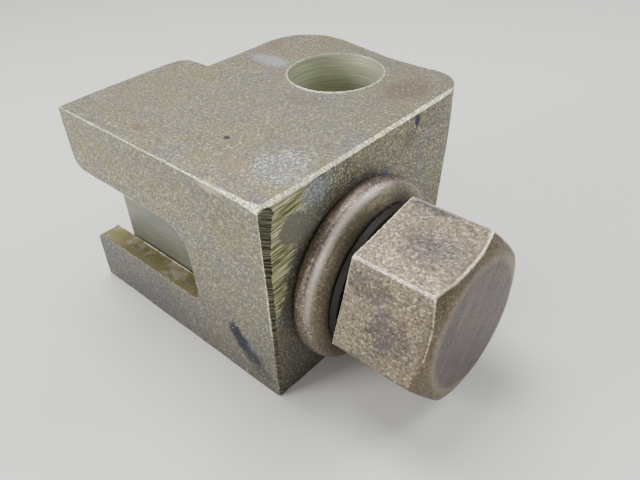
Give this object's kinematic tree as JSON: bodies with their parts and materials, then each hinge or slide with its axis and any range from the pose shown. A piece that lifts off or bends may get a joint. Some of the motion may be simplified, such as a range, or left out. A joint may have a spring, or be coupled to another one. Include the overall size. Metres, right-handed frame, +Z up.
{
  "type": "rod clamp",
  "caption": "Compact cast bronze rod clamp: a hexagon bolt draws a sliding block along a slotted casting to grip a rod standing in its upright bore.",
  "frame": {"origin": "on the upright bore's axis, in the plane of the base", "axes": "+X along the bolt towards its head, +Y away from the slotted front face, +Z up the bore"},
  "size_m": [0.0543, 0.0398, 0.028],
  "materials": {
    "casting": "weathered gunmetal casting, blasted grain",
    "block": "smooth dull bronze",
    "bolt": "tarnished copper-brown bronze",
    "washer": "tarnished copper-brown bronze, worn rim",
    "spring_washer": "dark tarnished bronze"
  },
  "bodies": {
    "casting": {"body": "casting"},
    "draw_block": {"clamp_block": "block"},
    "bolt": {"clamp_bolt": "bolt"},
    "washer": {"plain_washer": "washer"},
    "spring_ring": {"spring_washer": "spring_washer"}
  },
  "joints": [
    {"name": "bolt_turn", "type": "hinge", "parent": "casting", "child": "bolt", "pos_m": [0.01575, -0.0153, 0.0123], "axis": [-1, 0, 0], "range_deg": [-905, 1175]},
    {"name": "block_slide", "type": "slide", "parent": "casting", "child": "draw_block", "axis": [1, 0, 0], "range_m": [-0.00438, 0.00569]},
    {"name": "washer_spin", "type": "hinge", "parent": "casting", "child": "washer", "pos_m": [0.01575, -0.0153, 0.0123], "axis": [1, 0, 0], "continuous": true},
    {"name": "spring_washer_spin", "type": "hinge", "parent": "bolt", "child": "spring_ring", "pos_m": [0.01575, -0.0153, 0.0123], "axis": [1, 0, 0], "continuous": true}
  ],
  "couplings": [
    {"joint": "bolt_turn", "follows": "block_slide", "rad_per_m": 3590.4}
  ]
}
